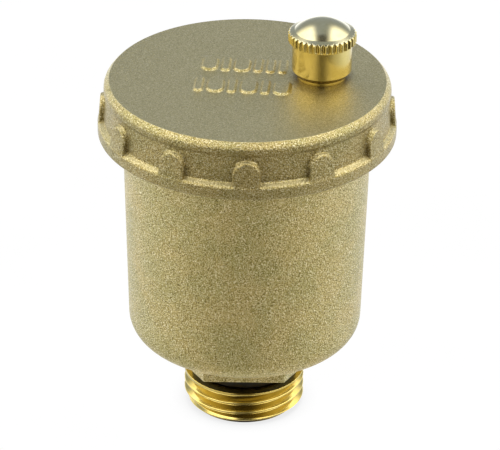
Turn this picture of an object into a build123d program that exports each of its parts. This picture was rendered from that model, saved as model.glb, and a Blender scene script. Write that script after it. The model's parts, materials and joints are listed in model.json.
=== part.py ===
from build123d import *
import os
from math import cos, pi, radians, tan

# Automatic air vent for a heating circuit, with a G 1/2 inlet. A float in the brass pot hangs from a
# lever under the screwed cover. The lever lifts a spring-loaded plunger against the vent jet.
# Millimetres. The origin is the centre of the inlet thread's end face. +Z runs up the pot's axis and
# +X points from that axis to the vent cap.

# ---- Driving dimensions: pot ----------------------------------------------------------------------
INLET_THREAD_D = 20.955          # G 1/2: 14 threads per inch
INLET_PITCH = 25.4 / 14
INLET_THREAD_TOP = 6.6
INLET_TURNS = 4
INLET_CREST = 0.3
INLET_BORE_D = 12.0
INLET_CHAMFER = 1.4
INLET_MOUTH_CHAMFER = 1.2
SEAL_GROOVE_FLOOR_D = 15.2
THREAD_SEAL_W, THREAD_SEAL_H = 1.5, 3.0
HEX_BOTTOM = 9.86
HEX_ACROSS_FLATS = 24.0
UNDERSIDE_R, UNDERSIDE_Z = 12.5, 12.2
SHOULDER_R, SHOULDER_Z = 17.5, 14.2
POT_LOW_R, POT_LOW_Z = 20.16, 18.1
POT_TOP_R, POT_TOP_Z = 21.12, 52.6
POT_CORNER_ROUND = 4.2
POT_BORE_R = 17.8
POT_FLOOR_Z = 13.0               # where the sloped floor meets the inlet bore
POT_FLOOR_ROUND = 2.5
FLOOR_EDGE_ROUND = 1.0           # where the floor turns down into the inlet bore
POT_MOUTH_Z = 59.8

# ---- Driving dimensions: cover --------------------------------------------------------------------
COVER_THREAD_D = 42.0            # M42 x 1.5, single start
COVER_PITCH = 1.5
COVER_THREAD_BOTTOM = 54.4
COVER_THREAD_CREST = 0.2
THREAD_LEAD = 0.5                # chamfers at both ends of the pot's cover thread
THREAD_SHOULDER = 0.2            # height of the cone from the pot's wall up to the thread
THREAD_ENTRY = 0.4               # cone at the mouth of the cover's thread
COVER_TOP_Z = 62.46
BAND_R = 25.34
BAND_TOP_Z = 55.16               # at the middle of the sloped ledge over the band
LEDGE_FALL = 0.6
SKIRT_LOW_R = 23.7
RIM_R = 24.3
RIM_Z = 60.6
RIM_SLOPE_W, RIM_SLOPE_H = 0.9, 1.0   # the cone between the flat top and the rim's side
RIM_ROUND = 1.5
RIM_EDGE_ROUND = 0.15
RIM_PROUD = 0.25                 # the rim stands this far outside the skirt
RIM_STEP = 0.6                   # height of the slope from the skirt out to the rim
RIM_FOOT_ROUND = 0.4
COVER_EDGE_ROUND = 0.5
CEILING_Z = 59.9
COVER_RELIEF_R = 21.5
LUG_COUNT = 12
LUG_TURN = -5.5                  # degrees from the vent's direction to the nearest lug and hexagon corner
LUG_TOP_Z = 59.3
LUG_WIDTH = 4.8
LUG_DRAFT = 7.0                  # degrees
LUG_ROUND = 0.45
LUG_DEPTH = 3.2
LUG_SETBACK = 0.05               # a lug's face starts this far inside the band's
LUG_LEAN = 5.0                   # degrees, how far a lug's face leans in as it rises
PAD_PROUD = 0.4                  # raised identification pads on the cover
PAD_H = 5.3
PAD_ROUND = 0.5
PAD_EDGE = 0.2
PAD_GAP = 0.8
PAD_TURN = -10.0                 # degrees from the vent's direction to the pads' rows
PAD_ROWS = (                     # each row's middle, its left end and its pads' widths
    (5.0, -8.1, (2.6, 1.3, 2.6, 1.3, 1.3, 1.3)),
    (-3.1, -8.6, (1.3, 2.7, 1.3, 2.7, 1.3, 2.7)),
)
SEAL_GROOVE_IN, SEAL_GROOVE_OUT = 17.95, 19.95
SEAL_GROOVE_H = 1.45

# ---- Driving dimensions: vent jet and cap ---------------------------------------------------------
VENT_X = 12.5
JET_THREAD_D = 8.0               # M8 x 0.75 carries the cap
JET_PITCH = 0.75
JET_FLANGE_D = 8.3
JET_FLANGE_H = 0.6
JET_LEAD = 0.4                   # chamfers at the ends of the jet's threads
JET_NOZZLE_H = 0.5
JET_RELIEF_H = 0.4               # thread relief under and over the flange
JET_SHANK_D = 7.0                # M7 x 0.75 in the cover and the lock nut
JET_TOP_Z = 68.6
JET_TIP_Z = 52.3
JET_SPIGOT_R = 2.22
ORIFICE_D = 1.2
BOSS_R = 4.9
BOSS_BOTTOM_Z = 57.9
CAP_BOTTOM_Z = 63.15
CAP_R = 5.05
CAP_CHAMFER = 0.9
KNURL_R = 5.75
KNURL_BOTTOM_Z, KNURL_TOP_Z = 69.25, 70.85
KNURL_COUNT = 36
KNURL_DEPTH = 0.28
FLUTE_SHARE = 0.8                # how much of the knurl's pitch a flute's mouth takes
KNURL_EDGE = 0.3                 # bevels at the knurled ring's edges
CAP_DOME_R = 4.65
CAP_DOME_H = 2.0
CAP_BEVEL_H = 0.35
CAP_ROOF_Z = 69.85
CAP_SEAL_R = 3.4
SEAT_R = 1.0
DUCT_R = 1.5
DRIVER_SLOT_W = 1.0
DRIVER_SLOT_DEPTH = 1.0
JET_SEAL_SEAT_R = 4.4
JET_SEAL_SEAT_H = 0.8

# ---- Driving dimensions: lever, valve and float ---------------------------------------------------
BRACKET_T = 0.7
BRACKET_HALF_GAP = 5.3           # inside face of each leg from the mid plane
NUT_ACROSS_FLATS = 9.0
NUT_H = 2.0
NUT_TURN = 30.0                  # degrees, so that two flats face along X
PIVOT_X, PIVOT_Z = 14.8, 46.2
PIN_R = 0.8
LEVER_TILT = 18.0                # degrees, from hanging to closed
LEVER_T = 1.0
LEVER_W = 5.0
PLUNGER_DOME_R = 1.5
SPRING_WIRE_R = 0.25
SPRING_TURNS = 6
FLOAT_R = 15.0
FLOAT_BOTTOM_Z, FLOAT_TOP_Z = 19.5, 40.0
FLOAT_WALL = 1.0

BRACKET_INNER_X, BRACKET_OUTER_X = 8.6, 16.2
LEG_EYE_R = 1.45
LEG_FOOT_ROUND = 1.0
LEVER_EYE_R = 1.25
SHORT_EYE_R = 1.15
RIB_W, RIB_H, RIB_INSET = 1.0, 0.8, 1.0
PIN_END = 0.6
PIN_HEAD_R = 1.2
PIN_HEAD_T = 0.45
CLIP_T = 0.3
CLIP_DEPTH = 0.25
CLIP_PROUD = 0.1                 # how far the clip reaches past the pin's head radius
SPRING_R = 3.5
PAD_T = 1.5
PLUNGER_FLANGE_Z = 50.0
PLUNGER_FLANGE_T = 1.0
PLUNGER_FLANGE_R = 4.0
PLUNGER_SKIRT_R = 3.0
WINDOW_COUNT = 3                 # air windows in the plunger's skirt
WINDOW_W, WINDOW_H = 1.4, 1.6
WINDOW_LIFT = 0.3                # above the pad
FLOAT_JOINT_Z = 37.0
FLOAT_ROUND = 4.0
FLOAT_LID_ROUND = 2.5
FLOAT_SPIGOT_H = 2.0
CHEEK_IN, CHEEK_OUT = 2.6, 3.8
CHEEK_R = 1.6

PIPE_DEPTH_SHARE = 0.64          # a pipe thread's depth over its pitch
METRIC_DEPTH_SHARE = 0.613       # the same for a metric thread
OVER = 1.0                       # how far a cutter, or a solid that is merged, runs past its partner
GROOVE_OVER = 0.1                # the same for a thread's groove
RUNNING_GAP = 0.04               # radial, on the pins
THREAD_GAP = 0.08                # between the surfaces of two running threads
FINE_CREST = 0.2                 # crest width of the 0.75 mm threads
SLIP_GAP = 0.02                  # between still faces that only touch
END_PLAY = 0.1                   # along a pin or a slide

# ---- Derived places -------------------------------------------------------------------------------
HALF_TILT = radians(LEVER_TILT / 2)
VALVE_ARM = PIVOT_X - VENT_X
VALVE_LIFT = 2 * VALVE_ARM * tan(HALF_TILT)
FLOAT_PIN_Z = PIVOT_Z - PIVOT_X * tan(HALF_TILT)
NUT_TOP_Z = BOSS_BOTTOM_Z - BRACKET_T
NUT_BOTTOM_Z = NUT_TOP_Z - NUT_H
PAD_TOP_Z = JET_TIP_Z - VALVE_LIFT - SLIP_GAP
DOME_Z = PIVOT_Z - VALVE_ARM * tan(HALF_TILT) + (LEVER_T / 2 + PLUNGER_DOME_R) / cos(HALF_TILT)

UNDERSIDE_SLOPE = (SHOULDER_Z - UNDERSIDE_Z) / (SHOULDER_R - UNDERSIDE_R)
POT_DRAFT = (POT_TOP_R - POT_LOW_R) / (POT_TOP_Z - POT_LOW_Z)
POT_CORNER_Z = (UNDERSIDE_Z + UNDERSIDE_SLOPE * (POT_LOW_R - UNDERSIDE_R - POT_DRAFT * POT_LOW_Z)) / (
    1 - UNDERSIDE_SLOPE * POT_DRAFT
)
POT_CORNER_R = POT_LOW_R + POT_DRAFT * (POT_CORNER_Z - POT_LOW_Z)
INLET_THREAD_DEPTH = PIPE_DEPTH_SHARE * INLET_PITCH
COVER_THREAD_DEPTH = METRIC_DEPTH_SHARE * COVER_PITCH
JET_THREAD_DEPTH = METRIC_DEPTH_SHARE * JET_PITCH
LEVER_LENGTH = PIVOT_X / cos(HALF_TILT)
SHANK_LOW_Z = NUT_BOTTOM_Z + END_PLAY
SKIRT_TOP_R = RIM_R - RIM_PROUD

VENT_AXIS = Pos(VENT_X, 0, 0)


# ---- Shared shapes --------------------------------------------------------------------------------
def turned(points, rounds=None):
    """A solid of revolution about Z from (radius, height) points. rounds gives corners' fillets by index."""
    rounds = rounds or {}
    radii = [rounds.get(i, 0) for i in range(len(points))]
    outline = FilletPolyline(*[(r, 0, z) for r, z in points], radius=radii, close=True)
    return revolve(make_face(outline), Axis.Z)


def rod(radius, low, high):
    """A round bar along Z."""
    return Pos(0, 0, low) * Cylinder(radius, high - low, align=(Align.CENTER, Align.CENTER, Align.MIN))


def ring(outer, inner, low, high):
    return rod(outer, low, high) - rod(inner, low - OVER, high + OVER)


def cross_rod(radius, low, high):
    """A round bar along Y, centred on the origin."""
    return Rot(-90, 0, 0) * rod(radius, low, high)


def block(x0, x1, y0, y1, z0, z1):
    corner = (Align.MIN, Align.MIN, Align.MIN)
    return Pos(x0, y0, z0) * Box(x1 - x0, y1 - y0, z1 - z0, align=corner)


def o_ring(mean_r, centre_z, half_w, half_h):
    """A ring seal whose cord is pressed to an oval."""
    cord = Plane.XZ * Pos(mean_r, centre_z) * Ellipse(half_w, half_h)
    return revolve(cord, Axis.Z)


def thread_groove(major_r, depth, pitch, low, high, crest):
    """What a bar of the major radius loses to leave a right-hand male thread: a V with a narrow flat root."""
    over = GROOVE_OVER
    half_mouth = (pitch - crest) / 2
    slope = (half_mouth - crest / 2) / depth
    wide = half_mouth + slope * over
    root = major_r - depth
    outline = [(root, -crest / 2), (major_r + over, -wide), (major_r + over, wide), (root, crest / 2)]
    section = make_face(Polyline(*[(r, 0, z) for r, z in outline], close=True))
    path = Helix(pitch, high - low, 1)
    return Pos(0, 0, low) * sweep(section, path, is_frenet=True)


# ---- Pot ------------------------------------------------------------------------------------------
def inlet_thread():
    """The threaded end. Its grooves run straight round, at the thread's own pitch, depth and crest width."""
    major = INLET_THREAD_D / 2
    root = major - INLET_THREAD_DEPTH
    half = INLET_CREST / 2
    top_crest = INLET_THREAD_TOP - half
    outline = [(0, INLET_THREAD_TOP)]
    for turn in range(INLET_TURNS):
        crest_z = top_crest - turn * INLET_PITCH
        root_z = crest_z - INLET_PITCH / 2
        outline += [(major, crest_z + half), (major, crest_z - half)]
        outline += [(root, root_z + half), (root, root_z - half)]
    last_crest = top_crest - INLET_TURNS * INLET_PITCH
    outline += [(major, last_crest + half), (major, last_crest - OVER), (0, last_crest - OVER)]
    end_cone = turned(
        [
            (0, 0),
            (major - INLET_CHAMFER, 0),
            (major + OVER, INLET_CHAMFER + OVER),
            (major + OVER, INLET_THREAD_TOP + OVER),
            (0, INLET_THREAD_TOP + OVER),
        ]
    )
    return turned(outline) & end_cone


def inlet_hex():
    """The spanner hexagon. Its corners run down into the pot's underside."""
    top = SHOULDER_Z - OVER
    plan = RegularPolygon(HEX_ACROSS_FLATS / 2, 6, major_radius=False, rotation=LUG_TURN)
    return Pos(0, 0, HEX_BOTTOM) * extrude(plan, top - HEX_BOTTOM)


def pot_shell():
    """The pot above the hexagon: sloped underside, round shoulder and a drafted wall up to the thread."""
    major = COVER_THREAD_D / 2
    return turned(
        [
            (0, HEX_BOTTOM + OVER),
            (UNDERSIDE_R - OVER, HEX_BOTTOM + OVER),
            (UNDERSIDE_R, UNDERSIDE_Z),
            (POT_CORNER_R, POT_CORNER_Z),
            (POT_TOP_R, POT_TOP_Z),
            (POT_TOP_R, COVER_THREAD_BOTTOM - THREAD_LEAD - THREAD_SHOULDER),
            (major, COVER_THREAD_BOTTOM - THREAD_LEAD),
            (major, POT_MOUTH_Z - THREAD_LEAD),
            (major - THREAD_LEAD, POT_MOUTH_Z),
            (0, POT_MOUTH_Z),
        ],
        {3: POT_CORNER_ROUND},
    )


def pot_cavity():
    """The inlet bore, the sloped floor and the machined bore that the float rises in."""
    bore = INLET_BORE_D / 2
    floor_edge = POT_FLOOR_Z + (POT_BORE_R - bore) * UNDERSIDE_SLOPE
    return turned(
        [
            (0, -OVER),
            (bore + INLET_MOUTH_CHAMFER + OVER, -OVER),
            (bore, INLET_MOUTH_CHAMFER),
            (bore, POT_FLOOR_Z),
            (POT_BORE_R, floor_edge),
            (POT_BORE_R, POT_MOUTH_Z + OVER),
            (0, POT_MOUTH_Z + OVER),
        ],
        {3: FLOOR_EDGE_ROUND, 4: POT_FLOOR_ROUND},
    )


def make_body():
    neck = rod(SEAL_GROOVE_FLOOR_D / 2, INLET_THREAD_TOP - OVER, HEX_BOTTOM + OVER)
    pot = pot_shell() + inlet_hex() + neck
    major = COVER_THREAD_D / 2
    low, high = COVER_THREAD_BOTTOM, POT_MOUTH_Z + COVER_PITCH
    cover_groove = thread_groove(major, COVER_THREAD_DEPTH, COVER_PITCH, low, high, COVER_THREAD_CREST)
    return pot + inlet_thread() - cover_groove - pot_cavity()


def make_thread_o_ring():
    """The black seal in the groove between the inlet thread and the hexagon."""
    mean_r = (SEAL_GROOVE_FLOOR_D + THREAD_SEAL_W) / 2 + SLIP_GAP
    return o_ring(mean_r, (INLET_THREAD_TOP + HEX_BOTTOM) / 2, THREAD_SEAL_W / 2, THREAD_SEAL_H / 2)


# ---- Cover ----------------------------------------------------------------------------------------
def cover_shell():
    """The cover's outside: a heavy band, a skirt that leans out a little and a proud rim with a coned top."""
    return turned(
        [
            (0, POT_TOP_Z),
            (BAND_R, POT_TOP_Z),
            (BAND_R, BAND_TOP_Z - LEDGE_FALL / 2),
            (SKIRT_LOW_R, BAND_TOP_Z + LEDGE_FALL / 2),
            (SKIRT_TOP_R, RIM_Z - RIM_STEP),
            (RIM_R, RIM_Z),
            (RIM_R, COVER_TOP_Z - RIM_SLOPE_H),
            (RIM_R - RIM_SLOPE_W, COVER_TOP_Z),
            (0, COVER_TOP_Z),
        ],
        {
            1: COVER_EDGE_ROUND,
            2: COVER_EDGE_ROUND,
            3: COVER_EDGE_ROUND,
            4: RIM_FOOT_ROUND,
            5: RIM_FOOT_ROUND,
            6: RIM_ROUND,
            7: RIM_EDGE_ROUND,
        },
    )


def grip_lug():
    """One grip lug: a round-topped pad that stands out of the skirt as far as the band."""
    half = LUG_WIDTH / 2
    foot = BAND_TOP_Z - OVER
    arch_z = LUG_TOP_Z - half
    shank = Pos(0, (foot + arch_z) / 2) * Rectangle(LUG_WIDTH, arch_z - foot)
    arch = Pos(0, arch_z) * Circle(half)
    front = Plane(origin=(0, -BAND_R, 0), x_dir=(1, 0, 0), z_dir=(0, 1, 0))
    outline = Rot(0, 0, 180) * (shank + arch)
    lug = extrude(front * outline, LUG_DEPTH, taper=-LUG_DRAFT)
    top = LUG_TOP_Z + half
    face_r = BAND_R - LUG_SETBACK
    leaned_r = face_r - (top - foot) * tan(radians(LUG_LEAN))
    lug = lug & turned([(0, foot), (face_r, foot), (leaned_r, top), (0, top)])
    face = lug.faces().sort_by(Axis.Y)[0]
    edges = [e for e in face.edges() if e.center().Z > foot + SLIP_GAP]
    return fillet(edges, LUG_ROUND)


def raised_pads():
    """Two rows of plain raised blocks on the cover, where such a cover carries cast information."""
    pads = []
    for row_y, x, widths in PAD_ROWS:
        for width in widths:
            foot = Pos(x + width / 2, row_y, COVER_TOP_Z - PAD_PROUD)
            pad = extrude(foot * RectangleRounded(width, PAD_H, PAD_ROUND), 2 * PAD_PROUD)
            top = pad.faces().sort_by(Axis.Z)[-1]
            pads.append(Rot(0, 0, PAD_TURN) * fillet(top.edges(), PAD_EDGE))
            x += width + PAD_GAP
    return pads


def cover_inside():
    """What the cover loses inside: entry relief, thread bore and the cover seal's groove."""
    bore_r = COVER_THREAD_D / 2 + THREAD_GAP
    return turned(
        [
            (0, POT_TOP_Z - OVER),
            (COVER_RELIEF_R, POT_TOP_Z - OVER),
            (COVER_RELIEF_R, COVER_THREAD_BOTTOM - THREAD_ENTRY / 2),
            (bore_r, COVER_THREAD_BOTTOM + THREAD_ENTRY / 2),
            (bore_r, CEILING_Z),
            (SEAL_GROOVE_OUT, CEILING_Z),
            (SEAL_GROOVE_OUT, CEILING_Z + SEAL_GROOVE_H),
            (SEAL_GROOVE_IN, CEILING_Z + SEAL_GROOVE_H),
            (SEAL_GROOVE_IN, CEILING_Z),
            (0, CEILING_Z),
        ]
    )


def make_cover():
    lug = grip_lug()
    lugs = [Rot(0, 0, LUG_TURN + i * 360 / LUG_COUNT) * lug for i in range(LUG_COUNT)]
    boss = VENT_AXIS * rod(BOSS_R, BOSS_BOTTOM_Z, CEILING_Z + OVER)
    shell = cover_shell() + lugs + raised_pads() - cover_inside() + boss
    shank_bore = rod(JET_SHANK_D / 2 + THREAD_GAP, BOSS_BOTTOM_Z - OVER, COVER_TOP_Z + OVER)
    seal_seat = rod(JET_SEAL_SEAT_R, BOSS_BOTTOM_Z - OVER, BOSS_BOTTOM_Z + JET_SEAL_SEAT_H)
    return shell - VENT_AXIS * shank_bore - VENT_AXIS * seal_seat


def make_cover_o_ring():
    """The ring seal pressed between the pot's mouth and the groove in the cover."""
    low = POT_MOUTH_Z + SLIP_GAP
    half_h = (CEILING_Z + SEAL_GROOVE_H - SLIP_GAP - low) / 2
    half_w = (SEAL_GROOVE_OUT - SEAL_GROOVE_IN) / 2 - SLIP_GAP
    return o_ring((SEAL_GROOVE_OUT + SEAL_GROOVE_IN) / 2, low + half_h, half_w, half_h)


# ---- Vent jet, its nut and seal, and the cap ------------------------------------------------------
def make_vent_jet():
    """The vent jet: valve nozzle, spigot, shank in the cover, flange, and the threaded stem under the cap."""
    flange_r = JET_FLANGE_D / 2
    shank_r = JET_SHANK_D / 2
    thread_r = JET_THREAD_D / 2
    shank_root_r = shank_r - JET_THREAD_DEPTH
    stem_root_r = thread_r - JET_THREAD_DEPTH
    flange_low = COVER_TOP_Z + SLIP_GAP
    flange_top = COVER_TOP_Z + JET_FLANGE_H
    shank_top = COVER_TOP_Z - JET_RELIEF_H
    stem_low = flange_top + JET_RELIEF_H
    jet = turned(
        [
            (0, JET_TIP_Z),
            (SEAT_R, JET_TIP_Z),
            (SEAT_R + JET_NOZZLE_H / 2, JET_TIP_Z + JET_NOZZLE_H),
            (JET_SPIGOT_R, JET_TIP_Z + JET_NOZZLE_H),
            (JET_SPIGOT_R, SHANK_LOW_Z),
            (shank_r - JET_LEAD, SHANK_LOW_Z),
            (shank_r, SHANK_LOW_Z + JET_LEAD),
            (shank_r, shank_top - JET_LEAD),
            (shank_root_r, shank_top),
            (shank_root_r, flange_low),
            (flange_r, flange_low),
            (flange_r, flange_top),
            (stem_root_r, flange_top),
            (stem_root_r, stem_low),
            (thread_r, stem_low + JET_LEAD),
            (thread_r, JET_TOP_Z - JET_LEAD),
            (thread_r - JET_LEAD, JET_TOP_Z),
            (0, JET_TOP_Z),
        ]
    )
    stem_high = JET_TOP_Z + JET_PITCH
    stem_groove = thread_groove(thread_r, JET_THREAD_DEPTH, JET_PITCH, stem_low, stem_high, FINE_CREST)
    low, high = SHANK_LOW_Z - JET_PITCH, shank_top - JET_LEAD
    shank_groove = thread_groove(shank_r, JET_THREAD_DEPTH, JET_PITCH, low, high, FINE_CREST)
    orifice = rod(ORIFICE_D / 2, JET_TIP_Z - OVER, JET_TOP_Z)
    duct = rod(DUCT_R, SHANK_LOW_Z + OVER, JET_TOP_Z + OVER)
    slot_half = DRIVER_SLOT_W / 2
    slot = block(-thread_r, thread_r, -slot_half, slot_half, JET_TOP_Z - DRIVER_SLOT_DEPTH, JET_TOP_Z + OVER)
    return VENT_AXIS * (jet - stem_groove - shank_groove - orifice - duct - slot)


def make_jet_o_ring():
    """The small seal round the jet's shank, pressed into the boss by the bracket."""
    low = BOSS_BOTTOM_Z + SLIP_GAP
    half_h = (JET_SEAL_SEAT_H - 2 * SLIP_GAP) / 2
    inner = JET_SHANK_D / 2 + SLIP_GAP
    half_w = (JET_SEAL_SEAT_R - SLIP_GAP - inner) / 2
    return VENT_AXIS * o_ring(inner + half_w, low + half_h, half_w, half_h)


def make_jet_lock_nut():
    """The thin nut that clamps the bracket under the cover's boss."""
    plan = RegularPolygon(NUT_ACROSS_FLATS / 2, 6, major_radius=False, rotation=NUT_TURN)
    nut = Pos(0, 0, NUT_BOTTOM_Z) * extrude(plan, NUT_H)
    return VENT_AXIS * (nut - rod(JET_SHANK_D / 2 + THREAD_GAP, NUT_BOTTOM_Z - OVER, NUT_TOP_Z + OVER))


def knurl_cutter():
    """One V flute down the side of the cap's grip ring."""
    half = FLUTE_SHARE * pi * KNURL_R / KNURL_COUNT
    plan = Polyline(
        (KNURL_R - KNURL_DEPTH, 0),
        (KNURL_R, half),
        (KNURL_R + OVER, half),
        (KNURL_R + OVER, -half),
        (KNURL_R, -half),
        close=True,
    )
    low = KNURL_BOTTOM_Z - KNURL_EDGE
    return extrude(Pos(0, 0, low) * make_face(plan), KNURL_TOP_Z + OVER - low)


def cap_dome():
    """The polished dome: a segment of a ball."""
    ball_r = (CAP_DOME_R**2 + CAP_DOME_H**2) / (2 * CAP_DOME_H)
    dome_low = KNURL_TOP_Z + CAP_BEVEL_H
    top = dome_low + CAP_DOME_H
    return Pos(0, 0, top - ball_r) * Sphere(ball_r) & rod(CAP_DOME_R, KNURL_TOP_Z, top + OVER)


def make_vent_cap():
    """The turned cap: bored barrel, knurled grip ring and polished dome."""
    bevel_top = KNURL_TOP_Z + CAP_BEVEL_H
    outside = turned(
        [
            (0, CAP_BOTTOM_Z),
            (CAP_R - CAP_CHAMFER, CAP_BOTTOM_Z),
            (CAP_R, CAP_BOTTOM_Z + CAP_CHAMFER),
            (CAP_R, KNURL_BOTTOM_Z - KNURL_EDGE),
            (KNURL_R, KNURL_BOTTOM_Z),
            (KNURL_R, KNURL_TOP_Z - KNURL_EDGE),
            (KNURL_R - KNURL_EDGE, KNURL_TOP_Z),
            (CAP_DOME_R, bevel_top),
            (0, bevel_top),
        ]
    )
    flute = knurl_cutter()
    flutes = [Rot(0, 0, i * 360 / KNURL_COUNT) * flute for i in range(KNURL_COUNT)]
    bore = rod(JET_THREAD_D / 2 + THREAD_GAP, CAP_BOTTOM_Z - OVER, CAP_ROOF_Z)
    return VENT_AXIS * (outside - flutes + cap_dome() - bore)


def make_cap_seal():
    """The soft disc in the cap's roof that closes the jet when the cap is screwed down."""
    return VENT_AXIS * rod(CAP_SEAL_R, JET_TOP_Z + SLIP_GAP, CAP_ROOF_Z - SLIP_GAP)


# ---- Lever, valve and float -----------------------------------------------------------------------
def make_lever_bracket():
    """A bent strip: a plate clamped under the boss and two legs that carry the lever's pin."""
    outer = BRACKET_HALF_GAP + BRACKET_T
    plate = block(BRACKET_INNER_X, BRACKET_OUTER_X, -outer, outer, NUT_TOP_Z, BOSS_BOTTOM_Z)
    leg_foot = PIVOT_Z - LEG_EYE_R
    legs = block(PIVOT_X - LEG_EYE_R, BRACKET_OUTER_X, -outer, outer, leg_foot, BOSS_BOTTOM_Z)
    bend = legs + plate
    bend = fillet(bend.edges().filter_by(Axis.X).group_by(Axis.Z)[-1], BRACKET_T)
    inside = block(0, POT_BORE_R, -BRACKET_HALF_GAP, BRACKET_HALF_GAP, leg_foot - OVER, NUT_TOP_Z)
    bracket = bend - inside
    foot_edges = bracket.edges().filter_by(Axis.Y).group_by(Axis.Z)[0]
    bracket = fillet(foot_edges, LEG_FOOT_ROUND)
    pin_hole = Pos(PIVOT_X, 0, PIVOT_Z) * cross_rod(PIN_R + SLIP_GAP, -outer - OVER, outer + OVER)
    jet_hole = VENT_AXIS * rod(JET_SHANK_D / 2 + THREAD_GAP, NUT_TOP_Z - OVER, BOSS_BOTTOM_Z + OVER)
    return bracket - pin_hole - jet_hole


def headed_pin(half_span):
    """A pin along Y with a head at its -Y end and a clip groove near its +Y end."""
    shank = cross_rod(PIN_R, -half_span, half_span + PIN_END)
    head = cross_rod(PIN_HEAD_R, -half_span - PIN_HEAD_T, -half_span)
    groove = cross_rod(PIN_R + OVER, half_span + SLIP_GAP, half_span + SLIP_GAP + CLIP_T)
    core = cross_rod(PIN_R - CLIP_DEPTH, half_span, half_span + CLIP_T + OVER)
    return shank + head - (groove - core)


def pin_clip(half_span):
    """An open retaining clip that snaps into the pin's groove."""
    low = half_span + 1.5 * SLIP_GAP
    high = low + CLIP_T - SLIP_GAP
    disc = cross_rod(PIN_HEAD_R + CLIP_PROUD, low, high)
    hole = cross_rod(PIN_R - CLIP_DEPTH + SLIP_GAP, low - OVER, high + OVER)
    mouth = block(0, PIN_HEAD_R + OVER, low - OVER, high + OVER, -PIN_R / 2, PIN_R / 2)
    return disc - hole - mouth


LEVER_PIVOT = Pos(PIVOT_X, 0, PIVOT_Z)
FLOAT_PIVOT = Pos(0, 0, FLOAT_PIN_Z)


def make_lever_pin():
    return LEVER_PIVOT * headed_pin(BRACKET_HALF_GAP + BRACKET_T + SLIP_GAP)


def make_lever_pin_clip():
    return LEVER_PIVOT * Rot(0, 180, 0) * pin_clip(BRACKET_HALF_GAP + BRACKET_T + SLIP_GAP)


def make_float_pin():
    return FLOAT_PIVOT * headed_pin(CHEEK_OUT + SLIP_GAP)


def make_float_pin_clip():
    return FLOAT_PIVOT * pin_clip(CHEEK_OUT + SLIP_GAP)


def make_float_lever():
    """A moulded arm with a wide eye at the bracket and a short one at the float, hung by half its tilt."""
    half_w = LEVER_W / 2
    arm = block(-LEVER_LENGTH, 0, -half_w, half_w, -LEVER_T / 2, LEVER_T / 2)
    eye_half = BRACKET_HALF_GAP - END_PLAY
    wide_eye = cross_rod(LEVER_EYE_R, -eye_half, eye_half)
    short_eye = Pos(-LEVER_LENGTH, 0, 0) * cross_rod(SHORT_EYE_R, -half_w, half_w)
    rib_end = -VALVE_ARM - PLUNGER_DOME_R - RIB_INSET
    rib_top = LEVER_T / 2 + RIB_H
    rib = block(-LEVER_LENGTH + RIB_INSET, rib_end, -RIB_W / 2, RIB_W / 2, LEVER_T / 2, rib_top)
    hole = cross_rod(PIN_R + RUNNING_GAP, -BRACKET_HALF_GAP, BRACKET_HALF_GAP)
    lever = arm + wide_eye + short_eye + rib - hole - Pos(-LEVER_LENGTH, 0, 0) * hole
    return LEVER_PIVOT * Rot(0, -LEVER_TILT / 2, 0) * lever


def make_valve_plunger():
    """A cup that slides on the spigot. Its dome rests on the lever and its flange carries the spring."""
    pad_floor = PAD_TOP_Z - PAD_T
    skirt_in = JET_SPIGOT_R + RUNNING_GAP
    skirt_top = NUT_BOTTOM_Z - VALVE_LIFT - 2 * END_PLAY
    cup = turned(
        [
            (0, DOME_Z),
            (PLUNGER_DOME_R, DOME_Z),
            (PLUNGER_DOME_R, PLUNGER_FLANGE_Z - PLUNGER_FLANGE_T),
            (PLUNGER_FLANGE_R, PLUNGER_FLANGE_Z - PLUNGER_FLANGE_T),
            (PLUNGER_FLANGE_R, PLUNGER_FLANGE_Z),
            (PLUNGER_SKIRT_R, PLUNGER_FLANGE_Z),
            (PLUNGER_SKIRT_R, skirt_top),
            (skirt_in, skirt_top),
            (skirt_in, pad_floor),
            (0, pad_floor),
        ]
    )
    dome = Pos(0, 0, DOME_Z) * Sphere(PLUNGER_DOME_R)
    window_low = PAD_TOP_Z + WINDOW_LIFT
    window = block(0, PLUNGER_SKIRT_R + OVER, -WINDOW_W / 2, WINDOW_W / 2, window_low, window_low + WINDOW_H)
    windows = [Rot(0, 0, i * 360 / WINDOW_COUNT) * window for i in range(WINDOW_COUNT)]
    return VENT_AXIS * (cup + dome - windows)


def make_valve_pad():
    return VENT_AXIS * rod(JET_SPIGOT_R, PAD_TOP_Z - PAD_T + SLIP_GAP, PAD_TOP_Z)


def make_valve_spring():
    """The spring that pushes the plunger off the jet when the float sinks."""
    low = PLUNGER_FLANGE_Z + SPRING_WIRE_R + SLIP_GAP
    high = NUT_BOTTOM_Z - SPRING_WIRE_R - SLIP_GAP
    path = Helix((high - low) / SPRING_TURNS, high - low, SPRING_R)
    wire = Plane(origin=path @ 0, z_dir=path % 0) * Circle(SPRING_WIRE_R)
    return VENT_AXIS * Pos(0, 0, low) * sweep(wire, path, is_frenet=True)


def make_float_shell():
    """The float's cup: a thin closed-bottomed tube with round lower edges."""
    outside = turned(
        [(0, FLOAT_BOTTOM_Z), (FLOAT_R, FLOAT_BOTTOM_Z), (FLOAT_R, FLOAT_JOINT_Z), (0, FLOAT_JOINT_Z)],
        {1: FLOAT_ROUND},
    )
    inner_r = FLOAT_R - FLOAT_WALL
    inner_z = FLOAT_BOTTOM_Z + FLOAT_WALL
    inside = turned(
        [(0, inner_z), (inner_r, inner_z), (inner_r, FLOAT_JOINT_Z + OVER), (0, FLOAT_JOINT_Z + OVER)],
        {1: FLOAT_ROUND - FLOAT_WALL},
    )
    return outside - inside


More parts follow.
